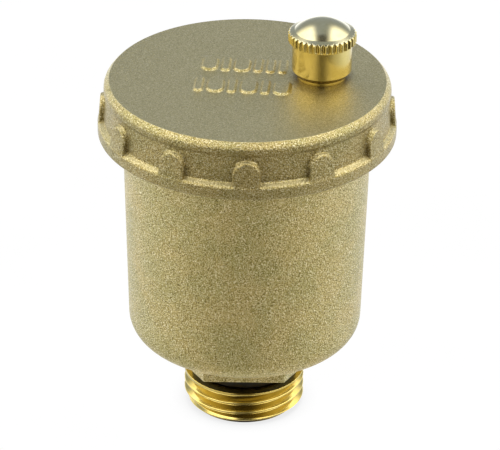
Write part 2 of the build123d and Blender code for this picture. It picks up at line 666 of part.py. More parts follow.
def make_float_lid():
    """The float's lid, with a spigot that plugs into the cup and two cheeks for the float pin."""
    low = FLOAT_JOINT_Z + SLIP_GAP
    spigot_r = FLOAT_R - FLOAT_WALL - SLIP_GAP
    hollow_r = spigot_r - FLOAT_WALL
    disc = turned([(0, low), (FLOAT_R, low), (FLOAT_R, FLOAT_TOP_Z), (0, FLOAT_TOP_Z)], {2: FLOAT_LID_ROUND})
    spigot = ring(spigot_r, hollow_r, low - FLOAT_SPIGOT_H, low)
    hollow = turned(
        [
            (0, low - OVER),
            (hollow_r, low - OVER),
            (hollow_r, FLOAT_TOP_Z - FLOAT_LID_ROUND),
            (hollow_r - FLOAT_WALL, FLOAT_TOP_Z - FLOAT_WALL),
            (0, FLOAT_TOP_Z - FLOAT_WALL),
        ]
    )
    cheeks = block(-CHEEK_R, CHEEK_R, -CHEEK_OUT, CHEEK_OUT, FLOAT_TOP_Z - FLOAT_WALL / 2, FLOAT_PIN_Z)
    cheeks = cheeks + FLOAT_PIVOT * cross_rod(CHEEK_R, -CHEEK_OUT, CHEEK_OUT)
    gap_r = CHEEK_R + OVER
    gap = block(-gap_r, gap_r, -CHEEK_IN, CHEEK_IN, FLOAT_TOP_Z, FLOAT_PIN_Z + gap_r)
    hole = FLOAT_PIVOT * cross_rod(PIN_R + SLIP_GAP, -CHEEK_OUT - OVER, CHEEK_OUT + OVER)
    return disc - hollow + spigot + (cheeks - gap - hole)


# ---- Assembly -------------------------------------------------------------------------------------
PIECES = {
    "body": make_body,
    "thread_o_ring": make_thread_o_ring,
    "cover": make_cover,
    "cover_o_ring": make_cover_o_ring,
    "vent_jet": make_vent_jet,
    "jet_o_ring": make_jet_o_ring,
    "jet_lock_nut": make_jet_lock_nut,
    "vent_cap": make_vent_cap,
    "cap_seal": make_cap_seal,
    "lever_bracket": make_lever_bracket,
    "lever_pin": make_lever_pin,
    "lever_pin_clip": make_lever_pin_clip,
    "float_lever": make_float_lever,
    "valve_plunger": make_valve_plunger,
    "valve_pad": make_valve_pad,
    "valve_spring": make_valve_spring,
    "float_shell": make_float_shell,
    "float_lid": make_float_lid,
    "float_pin": make_float_pin,
    "float_pin_clip": make_float_pin_clip,
}

os.makedirs("parts", exist_ok=True)
for node, make in PIECES.items():
    export_step(make(), f"parts/{node}.step")
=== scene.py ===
import json
from math import cos, pi, radians, sin, tan

import bmesh
import bpy
import numpy as np
from mathutils import Matrix, Vector


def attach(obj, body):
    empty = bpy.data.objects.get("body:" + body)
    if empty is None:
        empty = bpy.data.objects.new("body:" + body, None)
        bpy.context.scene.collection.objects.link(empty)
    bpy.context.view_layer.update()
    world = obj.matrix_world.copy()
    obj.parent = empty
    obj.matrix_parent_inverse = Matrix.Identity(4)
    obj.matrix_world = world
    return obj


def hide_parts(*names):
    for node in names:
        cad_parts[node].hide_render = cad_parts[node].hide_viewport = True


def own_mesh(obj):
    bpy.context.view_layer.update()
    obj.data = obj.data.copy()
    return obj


# Looks for an automatic air vent: blasted brass forgings, turned brass fittings, rubber and moulded plastic.
# Lengths are in millimetres and turn into metres where a mesh, a camera or a light is made.

MM = 0.001

# ---- Sizes of the shapes that are made here -------------------------------------------------------
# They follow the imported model. The skirt's foot, the band's upper edge, the dome's height, the knurl's depth
# and the soft edges of the lugs and pads differ from it by less than a millimetre, to look more like the real
# thing.
# inlet thread and neck
THREAD_R = 10.4775
THREAD_PITCH = 1.814
THREAD_DEPTH = 1.16
THREAD_TOP = 6.6
FRONT_CREST_Z = 4.64             # a crest passes the front here
THREAD_TURNS_BELOW = 4           # whole turns from that crest down to the cut's start, below the end face
THREAD_CHAMFER = 1.4
INLET_BORE_R, MOUTH_W, MOUTH_H = 6.0, 1.2, 1.0
GROOVE_R = 7.6
FLANK_SHARPNESS, ROOT_FLAT = 1.25, 0.12
THREAD_FADE_IN, THREAD_FADE_OUT, THREAD_RUN_OUT = 0.4, 0.5, 0.25
# hexagon and pot
HEX_BOTTOM = 9.86
HEX_FLAT_R, HEX_FACE_R, HEX_BLEND, HEX_EDGE = 12.0, 11.2, 1.4, 0.3
UNDERSIDE_R, UNDERSIDE_Z = 12.5, 12.2
SHOULDER_R, SHOULDER_Z, HEX_TOP_Z = 17.5, 14.2, 14.1
POT_CORNER_R, POT_CORNER_Z, POT_CORNER_ROUND = 20.09, 15.24, 4.2
POT_TOP_R, POT_TOP_Z = 21.12, 52.6
POT_BORE_R, POT_FLOOR_Z, MID_WALL_R = 17.8, 13.0, 19.3
COVER_THREAD_R, COVER_PITCH, COVER_THREAD_DEPTH = 21.0, 1.5, 0.92
COVER_THREAD_LOW, POT_MOUTH_Z, THREAD_LEAD, THREAD_OVERRUN, THREAD_GAP = 54.4, 59.8, 0.5, 0.2, 0.08
# cover
COVER_TOP_Z, CEILING_Z = 62.46, 59.9
BAND_R, BAND_TOP_Z, LEDGE_FALL = 25.34, 55.16, 0.6
SKIRT_LOW_R, SKIRT_TOP_R, RIM_R, RIM_Z, RIM_STEP = 24.35, 24.05, 24.3, 60.6, 0.6
BAND_TOP_ROUND, BAND_LOW_ROUND = 0.8, 0.55
RIM_SLOPE_W, RIM_SLOPE_H, RIM_ROUND, RIM_EDGE_ROUND = 0.9, 1.0, 1.5, 0.15
COVER_BORE_R, INNER_WALL_R = 21.5, 21.2
ENTRY_LOW_Z, ENTRY_HIGH_Z = COVER_THREAD_LOW - 0.1, COVER_THREAD_LOW + 0.3   # taper from bore to thread
TOP_END_R = RIM_R - RIM_SLOPE_W - 0.4    # the flat top ends here, before the rim's rounding
SKIRT_DEPTH = 0.5                # the skirt's surface lies within this depth of its foot
SEAL_IN_R, SEAL_OUT_R, SEAL_ROOF_Z = 17.95, 19.95, 61.35
LUG_COUNT, LUG_HALF_W, LUG_TOP_Z, LUG_R = 12, 2.4, 59.3, 25.29
LUG_TURN, LUG_LEAN, LUG_FOOT_Z = radians(-5.5), radians(5.0), 54.16
LUG_EDGE, LUG_SIDE_SLOPE, CAST_BLEND = 0.32, 10.0, 0.16
PAD_PROUD, PAD_EDGE, PAD_H, PAD_GAP = 0.4, 0.5, 5.3, 0.8
PAD_TURN = radians(-10)
PAD_ROWS = ((5.0, -8.1, (2.6, 1.3, 2.6, 1.3, 1.3, 1.3)), (-3.1, -8.6, (1.3, 2.7, 1.3, 2.7, 1.3, 2.7)))
# vent cap
VENT_X = 12.5
CAP_BOTTOM_Z, CAP_R, CAP_CHAMFER_H, CAP_BORE_R, CAP_ROOF_Z = 63.15, 5.05, 0.9, 4.08, 69.85
CAP_CHAMFER_W = 0.8 * CAP_CHAMFER_H
KNURL_R, KNURL_LOW_Z, KNURL_TOP_Z, KNURL_COUNT, KNURL_DEPTH = 5.75, 69.25, 70.85, 36, 0.38
KNURL_EDGE, KNURL_BAND, FLUTE_EDGE, FLUTE_SLOPE = 0.3, 0.4, 1.25, 1.6
DOME_R, DOME_H, BEVEL_H = 4.65, 1.85, 0.35
# valve spring
SPRING_R, SPRING_WIRE_R, SPRING_TURNS = 3.5, 0.25, 6
SPRING_LOW_Z, SPRING_HIGH_Z, SPRING_FIXED_Z, SPRING_SQUEEZE = 50.27, 54.93, 55.2, 0.73
# edge roundings
BORE_ROUND, TURNED_ROUND, SHARP_ROUND, CREST_ROUND = 0.05, 0.08, 0.1, 0.12
EDGE_ROUND, RELIEF_ROUND, GROOVE_ROUND, CAST_ROUND = 0.15, 0.2, 0.3, 0.4
CAVITY_ROUND = 2.5

# ---- Mesh detail ----------------------------------------------------------------------------------
POT_COLUMNS, HEX_RINGS, FLUTE_COLUMNS, DOME_RINGS = 384, 44, 14, 26
GAP_COLUMNS, SIDE_COLUMNS, FACE_COLUMNS = 14, 24, 12     # between lugs, at a lug's side and on its face
LUG_SIDE_BAND = 0.5              # half width of the closely spaced columns at a lug's side
SPRING_STEPS_PER_TURN, SPRING_COLUMNS = 24, 12
NECK_STEP, WALL_STEP, COVER_THREAD_STEP, SKIRT_STEP, CAP_STEP = 0.09, 1.0, 0.12, 0.1, 0.12
TOP_FINE_R, TOP_FINE_STEP, TOP_COARSE_STEP, RING_GAP, INSIDE_STRIDE = 10.4, 0.13, 0.8, 0.2, 6
ARC_STEP = radians(9)
POLE_R, CAP_POLE_R = 0.3, 0.2    # radius of the ring next to a pole
DOME_POLE_TILT = 0.03            # the same for the dome, as an angle in radians
SEAM = 0.02                      # between the last ring of one outline and the first of the next
PICK, CAVITY_PICK = 0.1, 1.0     # how far past a machined face its material is given to faces

# ---- The forging's surface ------------------------------------------------------------------------
MOTTLE_SIZE, GRAIN_SIZE, SPECK_SIZE = 7.0, 0.44, 0.20
# The last value below is how far the painted shade in corners and recesses reaches.
WRINKLE_DEPTH, SPECK_DEPTH, RECESS_SHADE_REACH = 0.24, 0.09, 2.0
# The middle value below is the strength of the painted shade on the cover's side; the last is that of the
# painted shade in corners and recesses.
SPECK_STRENGTH, COVER_SIDE_SHADE, RECESS_SHADE_STRENGTH = 0.8, 0.36, 0.8
HOLLOW_ROUGHNESS, PEAK_ROUGHNESS = 0.46, 0.30

# ---- Studio ---------------------------------------------------------------------------------------
CAMERA_DISTANCE, CAMERA_RISE, CAMERA_ROLL = 604, radians(28.86), radians(0.73)
CAMERA_AIM_Z = 32
SENSOR_WIDTH, FOCAL_SHARE = 36, 6.998   # the focal length is a share of the picture's width
SHIFT_X, SHIFT_Y = 0.0086, 0.0238
NEAR_CLIP, FAR_CLIP = 10, 10000
FLOOR_HALF = 2000
SHADOW_REACH, SHADOW_LEVEL = 8.0, 0.80
# what each zone of the surroundings shines with
DARK_FRONT = (0.04, 0.035, 0.03, 1)
DIM_FRONT = (0.66, 0.65, 0.60, 1)
TABLE = (0.98, 0.97, 0.94, 1)
LOW_FLANK, HIGH_FLANK = (0.80, 0.86, 0.99, 1), (1.65, 1.72, 1.9, 1)
FRONT_SKY, BACK_SKY = (0.08, 0.08, 0.09, 1), (0.45, 0.51, 0.64, 1)
SOFT_BOX = (2.6, 2.6, 2.7, 1)
# where each zone begins and is full: heights are shares of the view upwards, turns are from the camera's side
FLANK_HEIGHTS, TABLE_HEIGHTS, SKY_HEIGHTS = (-0.50, -0.34), (-0.52, -0.76), (-0.12, 0.2)
FLANK_TURNS = (radians(40), radians(105))
DARK_TURNS = (radians(52), radians(14))
SKY_TURNS = (radians(30), radians(120))
BOX_INNER, BOX_OUTER, BOX_BACK, BOX_LOW = (0.18, 0.42), (0.99, 0.90), (-0.75, -0.45), (0.18, 0.34)

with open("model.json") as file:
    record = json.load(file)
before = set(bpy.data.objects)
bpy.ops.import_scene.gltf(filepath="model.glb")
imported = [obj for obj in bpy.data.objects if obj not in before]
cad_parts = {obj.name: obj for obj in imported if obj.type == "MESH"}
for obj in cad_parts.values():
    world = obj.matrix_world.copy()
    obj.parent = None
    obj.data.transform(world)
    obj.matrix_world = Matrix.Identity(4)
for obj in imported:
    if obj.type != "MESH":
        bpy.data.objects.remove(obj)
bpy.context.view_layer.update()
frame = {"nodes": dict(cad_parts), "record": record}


# ---- Mesh building --------------------------------------------------------------------------------
def rounded_path(corners, step):
    """Points along straight runs joined by arcs. Each corner is (radius, height, rounding)."""
    pts = np.array([c[:2] for c in corners], float)
    out = [pts[0]]
    for i in range(1, len(pts) - 1):
        before, here, after = pts[i - 1], pts[i], pts[i + 1]
        u = (before - here) / np.linalg.norm(before - here)
        v = (after - here) / np.linalg.norm(after - here)
        rounding = corners[i][2]
        if rounding == 0:
            out.append(here)
            continue
        half = np.arccos(np.clip(u @ v, -1, 1)) / 2
        reach = rounding / np.tan(half)
        centre = here + (u + v) / np.linalg.norm(u + v) * rounding / np.sin(half)
        start, end = here + u * reach - centre, here + v * reach - centre
        sweep = np.arccos(np.clip(start @ end / rounding**2, -1, 1))
        count = max(3, int(sweep / ARC_STEP) + 1)
        turn = np.sign(start[0] * end[1] - start[1] * end[0])
        for t in np.linspace(0, sweep * turn, count + 1):
            turned = [start[0] * cos(t) - start[1] * sin(t), start[0] * sin(t) + start[1] * cos(t)]
            out.append(centre + turned)
    out.append(pts[-1])
    path = [out[0]]
    for here in out[1:]:
        gap = np.linalg.norm(here - path[-1])
        if gap < 1e-6:
            continue
        pieces = max(1, int(np.ceil(gap / step)))
        path += [path[-1] + (here - path[-1]) * k / pieces for k in range(1, pieces)] + [here]
    return np.array(path)


def ring_mesh(name, radius, height, angles, closed, centre=(0, 0)):
    """A surface of rings round Z, from (rings, angles) arrays. It closes on itself or ends in two poles."""
    rings, columns = radius.shape
    x = centre[0] + radius * np.cos(angles)
    y = centre[1] + radius * np.sin(angles)
    verts = np.stack([x, y, height], -1).reshape(-1, 3) * MM
    index = np.arange(rings * columns).reshape(rings, columns)
    if closed:
        index = np.vstack([index, index[:1]])
    across = np.roll(index, -1, axis=1)
    quads = np.stack([index[:-1], across[:-1], across[1:], index[1:]], -1).reshape(-1, 4)
    faces = [tuple(q) for q in quads.tolist()]
    verts = verts.tolist()
    if not closed:
        for ring, flip in ((index[0], False), (index[-1], True)):
            pole = len(verts)
            verts.append([centre[0] * MM, centre[1] * MM, float(verts[ring[0]][2])])
            for a, b in zip(ring.tolist(), np.roll(ring, -1).tolist()):
                faces.append((b, a, pole) if not flip else (a, b, pole))
    return add_piece(name, verts, faces)


def add_piece(name, verts, faces):
    """A smooth closed piece with its faces turned outwards."""
    mesh = bpy.data.meshes.new(name)
    mesh.from_pydata(verts, [], faces)
    mesh.validate()
    bm = bmesh.new()
    bm.from_mesh(mesh)
    bmesh.ops.recalc_face_normals(bm, faces=bm.faces)
    bm.to_mesh(mesh)
    bm.free()
    mesh.shade_smooth()
    piece = bpy.data.objects.new(name, mesh)
    bpy.context.scene.collection.objects.link(piece)
    return piece


def smooth_max(a, b, k):
    """The larger of a and b, with the corner between them filled by a fillet of about k."""
    return 0.5 * (a + b + np.sqrt((a - b) ** 2 + k * k))


def smooth_step(x):
    x = np.clip(x, 0, 1)
    return x * x * (3 - 2 * x)


def as_grid(path, angles):
    """A turned outline repeated at every angle."""
    ones = np.ones(len(angles))
    return path[:, :1] * ones, path[:, 1:2] * ones


# ---- The pot --------------------------------------------------------------------------------------
def screw_thread(radius, height, angles, major, pitch, depth, low, high):
    """Cuts a right-hand V thread into rings of the major radius between two heights."""
    front = LUG_TURN - pi / 2
    phase = ((height - low) / pitch - (angles - front) / (2 * pi)) % 1.0
    v_shape = np.clip(np.abs(phase - 0.5) * 2 * FLANK_SHARPNESS - ROOT_FLAT, 0, 1)
    fade = smooth_step((height - low) / THREAD_FADE_IN) * smooth_step((high - height) / THREAD_FADE_OUT)
    on = (height > low) & (height < high)
    return np.where(on, np.minimum(radius, major) - depth * (1 - v_shape) * fade, radius)


def hex_radius(angles):
    sector = (angles - LUG_TURN + pi / 2 + pi / 6) % (pi / 3) - pi / 6
    return HEX_FLAT_R / np.cos(sector)


def neck_part(angles):
    """The inlet's bore and mouth, the threaded end and the seal's groove."""
    neck = rounded_path(
        [
            (INLET_BORE_R, POT_FLOOR_Z, 0),
            (INLET_BORE_R, MOUTH_H, CAST_ROUND),
            (INLET_BORE_R + MOUTH_W, 0, GROOVE_ROUND),
            (THREAD_R - THREAD_CHAMFER, 0, EDGE_ROUND),
            (THREAD_R, THREAD_CHAMFER, SHARP_ROUND),
            (THREAD_R, THREAD_TOP, CREST_ROUND),
            (GROOVE_R, THREAD_TOP, GROOVE_ROUND),
            (GROOVE_R, HEX_BOTTOM, GROOVE_ROUND),
            (HEX_FACE_R, HEX_BOTTOM, 0),
        ],
        NECK_STEP,
    )
    r, z = as_grid(neck, angles)
    start_z = FRONT_CREST_Z - THREAD_TURNS_BELOW * THREAD_PITCH
    end_z = THREAD_TOP - THREAD_RUN_OUT
    cut = screw_thread(r, z, angles, THREAD_R, THREAD_PITCH, THREAD_DEPTH, start_z, end_z)
    outside = (neck[:, 0] >= INLET_BORE_R + MOUTH_W)[:, None]
    threaded = outside & (r > THREAD_R - THREAD_CHAMFER - 0.01) & (z < THREAD_TOP - 0.2)
    return np.where(threaded, np.minimum(r, cut), r), z


def hexagon_part(angles, slope):
    """The spanner hexagon, blended into the pot's sloped underside."""
    z = np.linspace(HEX_BOTTOM, HEX_TOP_Z, HEX_RINGS)[:, None] * np.ones(len(angles))
    flat = hex_radius(angles)[None, :] * np.ones_like(z)
    lift = np.clip((z - HEX_BOTTOM) / HEX_EDGE, 0, 1)
    flat = flat - HEX_EDGE * (1 - np.sqrt(1 - (1 - lift) ** 2))
    underside = UNDERSIDE_R + (z - UNDERSIDE_Z) / slope
    return smooth_max(flat, underside, HEX_BLEND), z


def wall_part(angles, slope):
    """The pot's shoulder and wall, the cover's thread, the mouth and the bore down to the inlet."""
    start_r = smooth_max(HEX_FLAT_R, UNDERSIDE_R + (HEX_TOP_Z - UNDERSIDE_Z) / slope, HEX_BLEND)
    wall = rounded_path(
        [
            (start_r, HEX_TOP_Z + SEAM, 0),
            (POT_CORNER_R, POT_CORNER_Z, POT_CORNER_ROUND),
            (POT_TOP_R, POT_TOP_Z, 0),
            (POT_TOP_R, COVER_THREAD_LOW - THREAD_LEAD - 0.2, RELIEF_ROUND),
            (COVER_THREAD_R, COVER_THREAD_LOW - THREAD_LEAD, SHARP_ROUND),
            (COVER_THREAD_R, POT_MOUTH_Z - THREAD_LEAD, SHARP_ROUND),
            (COVER_THREAD_R - THREAD_LEAD, POT_MOUTH_Z, SHARP_ROUND),
            (POT_BORE_R, POT_MOUTH_Z, EDGE_ROUND),
            (POT_BORE_R, POT_FLOOR_Z + (POT_BORE_R - INLET_BORE_R) * slope, CAVITY_ROUND),
            (INLET_BORE_R + 0.05, POT_FLOOR_Z + SEAM, 0),
        ],
        WALL_STEP,
    )
    outside = wall[:, 0] > MID_WALL_R
    zone = outside & (wall[:, 1] > COVER_THREAD_LOW - THREAD_LEAD) & (wall[:, 1] < POT_MOUTH_Z - 0.4)
    first, last = np.flatnonzero(zone)[[0, -1]]
    fine_z = np.arange(wall[first, 1], wall[last, 1], COVER_THREAD_STEP)
    fine = np.stack([np.full(len(fine_z), COVER_THREAD_R), fine_z], -1)
    wall = np.vstack([wall[:first], fine, wall[last:]])
    r, z = as_grid(wall, angles)
    low, high = COVER_THREAD_LOW - THREAD_OVERRUN, POT_MOUTH_Z + THREAD_OVERRUN
    cut = screw_thread(r, z, angles, COVER_THREAD_R, COVER_PITCH, COVER_THREAD_DEPTH, low, high)
    threaded = (r > MID_WALL_R) & (z > COVER_THREAD_LOW - THREAD_LEAD)
    return np.where(threaded, np.minimum(r, cut), r), z


def make_pot():
    """The forged pot with its thread, seal groove, hexagon, cover thread and machined bore."""
    angles = np.linspace(0, 2 * pi, POT_COLUMNS, endpoint=False)
    slope = (SHOULDER_Z - UNDERSIDE_Z) / (SHOULDER_R - UNDERSIDE_R)
    parts = [neck_part(angles), hexagon_part(angles, slope), wall_part(angles, slope)]
    radius = np.vstack([r for r, z in parts])
    height = np.vstack([z for r, z in parts])
    pot = ring_mesh("pot", radius, height, angles, closed=True)
    floor_z = POT_FLOOR_Z - slope * INLET_BORE_R - CAVITY_PICK

    def machined(r, z):
        in_cavity = (r < POT_BORE_R + PICK) & (z > floor_z + slope * r)
        return (z < HEX_BOTTOM) | in_cavity | (z > COVER_THREAD_LOW - THREAD_LEAD - PICK)

    return pot, machined


# ---- The cover ------------------------------------------------------------------------------------
def lug_angles():
    """Angles round the cover, close together where the lugs' sides are steep."""
    sector = 2 * pi / LUG_COUNT
    edge = LUG_HALF_W / LUG_R
    fine = LUG_SIDE_BAND / LUG_R
    offsets = np.concatenate(
        [
            np.linspace(-sector / 2, -edge - fine, GAP_COLUMNS, endpoint=False),
            np.linspace(-edge - fine, -edge + fine, SIDE_COLUMNS, endpoint=False),
            np.linspace(-edge + fine, edge - fine, FACE_COLUMNS, endpoint=False),
            np.linspace(edge - fine, edge + fine, SIDE_COLUMNS, endpoint=False),
            np.linspace(edge + fine, sector / 2, GAP_COLUMNS, endpoint=False),
        ]
    )
    centres = LUG_TURN - pi / 2 + np.arange(LUG_COUNT) * sector
    return (centres[:, None] + offsets[None, :]).ravel()


def lug_height(height, angles):
    """How far the round-topped lugs reach from the axis at each point of the skirt."""
    sector = 2 * pi / LUG_COUNT
    local = (angles - LUG_TURN + pi / 2 + sector / 2) % sector - sector / 2
    across = np.abs(local * LUG_R)
    above = np.maximum(height - (LUG_TOP_Z - LUG_HALF_W), 0)
    outside = np.hypot(across, above) - LUG_HALF_W
    into = np.clip(1 + outside / LUG_EDGE, 0, 1)
    rounding = LUG_EDGE * (1 - np.sqrt(1 - into**2))
    face = LUG_R - (height - LUG_FOOT_Z) * tan(LUG_LEAN)
    return face - rounding - np.maximum(outside, 0) * LUG_SIDE_SLOPE


def pad_height(x, y):
    """The raised plain pads on the cover, where such a cover carries cast information."""
    high = np.zeros_like(x)
    x, y = x * cos(PAD_TURN) + y * sin(PAD_TURN), y * cos(PAD_TURN) - x * sin(PAD_TURN)
    for row_y, left, widths in PAD_ROWS:
        for width in widths:
            corner = width / 2
            dx = np.abs(x - left - width / 2) - width / 2 + corner
            dy = np.abs(y - row_y) - PAD_H / 2 + corner
            inward = np.minimum(np.maximum(dx, dy), 0)
            outside = np.hypot(np.maximum(dx, 0), np.maximum(dy, 0)) + inward - corner
            high = np.maximum(high, PAD_PROUD * smooth_step(0.5 - outside / PAD_EDGE))
            left += width + PAD_GAP
    return high


def cover_top():
    """Rings across the flat top, close together where the pads are."""
    fine = np.arange(POLE_R, TOP_FINE_R, TOP_FINE_STEP)
    coarse = np.arange(TOP_FINE_R + RING_GAP, TOP_END_R - RING_GAP, TOP_COARSE_STEP)
    radii = np.concatenate([fine, coarse])
    return np.stack([radii, np.full(len(radii), COVER_TOP_Z)], -1)


def cover_skin():
    """The outline from the rim down the skirt and band, and back up inside to the ceiling."""
    skin = rounded_path(
        [
            (TOP_END_R, COVER_TOP_Z, 0),
            (RIM_R - RIM_SLOPE_W, COVER_TOP_Z, RIM_EDGE_ROUND),
            (RIM_R, COVER_TOP_Z - RIM_SLOPE_H, RIM_ROUND),
            (RIM_R, RIM_Z, CAST_ROUND),
            (SKIRT_TOP_R, RIM_Z - RIM_STEP, CAST_ROUND),
            (SKIRT_LOW_R, BAND_TOP_Z + LEDGE_FALL / 2, CAST_ROUND),
            (BAND_R, BAND_TOP_Z - LEDGE_FALL / 2, BAND_TOP_ROUND),
            (BAND_R, POT_TOP_Z, BAND_LOW_ROUND),
            (COVER_BORE_R, POT_TOP_Z, GROOVE_ROUND),
            (COVER_BORE_R, ENTRY_LOW_Z, 0),
            (COVER_THREAD_R + THREAD_GAP, ENTRY_HIGH_Z, 0),
            (COVER_THREAD_R + THREAD_GAP, CEILING_Z, 0),
            (SEAL_OUT_R, CEILING_Z, SHARP_ROUND),
            (SEAL_OUT_R, SEAL_ROOF_Z, 0),
            (SEAL_IN_R, SEAL_ROOF_Z, 0),
            (SEAL_IN_R, CEILING_Z, SHARP_ROUND),
            (POLE_R, CEILING_Z, 0),
        ],
        SKIRT_STEP,
    )
    inside = np.flatnonzero(skin[:, 0] < INNER_WALL_R)
    return np.vstack([skin[: inside[0]], skin[inside][::INSIDE_STRIDE], skin[-1:]])


def make_cover():
    """The forged cover: flat top with pads, coned rim, skirt, grip lugs and band, and its bore."""
    angles = lug_angles()
    top = cover_top()
    path = np.vstack([top, cover_skin()])
    r, z = as_grid(path, angles)
    on_skirt = (z > LUG_FOOT_Z) & (z < RIM_Z + RIM_STEP) & (r > SKIRT_LOW_R - SKIRT_DEPTH)
    r = np.where(on_skirt, smooth_max(r - SEAM, lug_height(z, angles), CAST_BLEND), r)
    r = np.minimum(r, BAND_R)
    x, y = r * np.cos(angles), r * np.sin(angles)
    on_top = (np.arange(len(path)) < len(top))[:, None]
    z = np.where(on_top, z + pad_height(x, y), z)
    cover = ring_mesh("cover_shell", r, z, angles, closed=False)
    return cover, lambda r, z: (r < COVER_BORE_R + PICK) & (z < SEAL_ROOF_Z + PICK)


# ---- The vent cap ---------------------------------------------------------------------------------
def make_vent_cap():
    """The turned cap: bored barrel, knurled grip ring, bevel and a dome turned to a high polish."""
    angles = np.linspace(0, 2 * pi, KNURL_COUNT * FLUTE_COLUMNS, endpoint=False)
    ball_r = (DOME_R**2 + DOME_H**2) / (2 * DOME_H)
    dome_low = KNURL_TOP_Z + BEVEL_H
    tilt = np.linspace(DOME_POLE_TILT, np.arcsin(DOME_R / ball_r), DOME_RINGS)
    dome = np.stack([ball_r * np.sin(tilt), dome_low + DOME_H - ball_r + ball_r * np.cos(tilt)], -1)
    side = rounded_path(
        [
            (DOME_R + SEAM, dome_low - SEAM, 0),
            (KNURL_R - KNURL_EDGE, KNURL_TOP_Z + SEAM, SHARP_ROUND),
            (KNURL_R, KNURL_TOP_Z - KNURL_EDGE, SHARP_ROUND),
            (KNURL_R, KNURL_LOW_Z, TURNED_ROUND),
            (CAP_R, KNURL_LOW_Z - KNURL_EDGE, EDGE_ROUND),
            (CAP_R, CAP_BOTTOM_Z + CAP_CHAMFER_H, EDGE_ROUND),
            (CAP_R - CAP_CHAMFER_W, CAP_BOTTOM_Z, TURNED_ROUND),
            (CAP_BORE_R, CAP_BOTTOM_Z, BORE_ROUND),
            (CAP_BORE_R, CAP_ROOF_Z, 0),
            (CAP_POLE_R, CAP_ROOF_Z, 0),
        ],
        CAP_STEP,
    )
    path = np.vstack([dome, side])
    r, z = as_grid(path, angles)
    flute = (angles * KNURL_COUNT / (2 * pi)) % 1.0
    v_shape = np.clip(FLUTE_EDGE - np.abs(flute - 0.5) * 2 * FLUTE_SLOPE, 0, 1)
    floor = KNURL_R - KNURL_DEPTH * v_shape
    grip = (z > KNURL_LOW_Z - KNURL_EDGE / 2) & (r > KNURL_R - KNURL_BAND)
    r = np.where(grip, np.minimum(r, floor), r)
    cap = ring_mesh("cap_shell", r, z, angles, closed=False, centre=(VENT_X, 0))
    # the second, paler material is a painted highlight, on the knurl's top edge, the bevel and the dome
    return cap, lambda r, z: z > KNURL_TOP_Z - PICK


# ---- The valve spring -----------------------------------------------------------------------------
def make_spring():
    """The coil under the vent, as a mesh of its own because it shortens when the plunger rises."""
    steps, columns = SPRING_STEPS_PER_TURN * SPRING_TURNS + 1, SPRING_COLUMNS
    turn = np.linspace(0, 2 * pi * SPRING_TURNS, steps)[:, None]
    around = np.linspace(0, 2 * pi, columns, endpoint=False)[None, :]
    radius = SPRING_R + SPRING_WIRE_R * np.cos(around)
    centre_z = np.linspace(SPRING_LOW_Z, SPRING_HIGH_Z, steps)[:, None]
    height = centre_z + SPRING_WIRE_R * np.sin(around)
    verts = np.stack([VENT_X + radius * np.cos(turn), radius * np.sin(turn), height], -1).reshape(-1, 3) * MM
    index = np.arange(steps * columns).reshape(steps, columns)
    across = np.roll(index, -1, axis=1)
    faces = np.stack([index[:-1], across[:-1], across[1:], index[1:]], -1).reshape(-1, 4).tolist()
    faces += [index[0].tolist(), index[-1].tolist()]
    return add_piece("spring_coil", verts.tolist(), faces)


# ---- Material building ----------------------------------------------------------------------------
class Nodes:
    """A short way to write a material's node tree. Lengths given to it are in millimetres."""

    def __init__(self, tree):
        self.tree = tree
        tree.nodes.clear()

    def add(self, kind, **settings):
        node = self.tree.nodes.new("ShaderNode" + kind)
        for key, value in settings.items():
            setattr(node, key, value)
        return node

    def feed(self, socket, value):
        if isinstance(value, bpy.types.NodeSocket):
            self.tree.links.new(value, socket)
        else:
            socket.default_value = value

    def math(self, operation, a, b=0.0):
        node = self.add("Math", operation=operation)
        for socket, value in zip(node.inputs, (a, b)):
            self.feed(socket, value)
        return node.outputs[0]

    def span(self, value, low, high, out_low=0.0, out_high=1.0):
        """A smooth step from out_low to out_high as value goes from low to high."""
        node = self.add("MapRange", interpolation_type="SMOOTHSTEP")
        for socket, given in zip(node.inputs, (value, low, high, out_low, out_high)):
            self.feed(socket, given)
        return node.outputs[0]

    def place(self):
        """The point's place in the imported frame, in millimetres."""
        scale = self.add("VectorMath", operation="SCALE")
        self.feed(scale.inputs[0], self.add("TexCoord").outputs["Object"])
        scale.inputs["Scale"].default_value = 1 / MM
        return scale.outputs[0]

    def noise(self, place, size, detail=3.0, rough=0.55):
        node = self.add("TexNoise")
        self.feed(node.inputs["Vector"], place)
        node.inputs["Scale"].default_value = 1 / size
        node.inputs["Detail"].default_value = detail
        node.inputs["Roughness"].default_value = rough
        return node.outputs[0]

    def mix(self, share, a, b):
        node = self.add("Mix", data_type="RGBA")
        self.feed(node.inputs[0], share)
        self.feed(node.inputs[6], a)
        self.feed(node.inputs[7], b)
        return node.outputs[2]

    def bump(self, height, depth, normal=None):
        """A normal from a height between 0 and 1 that stands for the given depth."""
        node = self.add("Bump")
        node.inputs["Distance"].default_value = depth * MM
        self.feed(node.inputs["Height"], height)
        if normal is not None:
            self.feed(node.inputs["Normal"], normal)
        return node.outputs[0]

    def surface(self, colour, metallic, roughness, normal):
        shader = self.add("BsdfPrincipled")
        self.feed(shader.inputs["Base Color"], colour)
        self.feed(shader.inputs["Metallic"], metallic)
        self.feed(shader.inputs["Roughness"], roughness)
        self.feed(shader.inputs["Normal"], normal)
        self.feed(self.add("OutputMaterial").inputs["Surface"], shader.outputs[0])


def new_material(name):
    material = bpy.data.materials.new(name)
    material.use_nodes = True
    return material, Nodes(material.node_tree)


def srgb(red, green, blue):
    """A linear colour from 0-255 display values."""
    shares = [value / 255 for value in (red, green, blue)]
    linear = [v / 12.92 if v <= 0.04045 else ((v + 0.055) / 1.055) ** 2.4 for v in shares]
    return (*linear, 1.0)


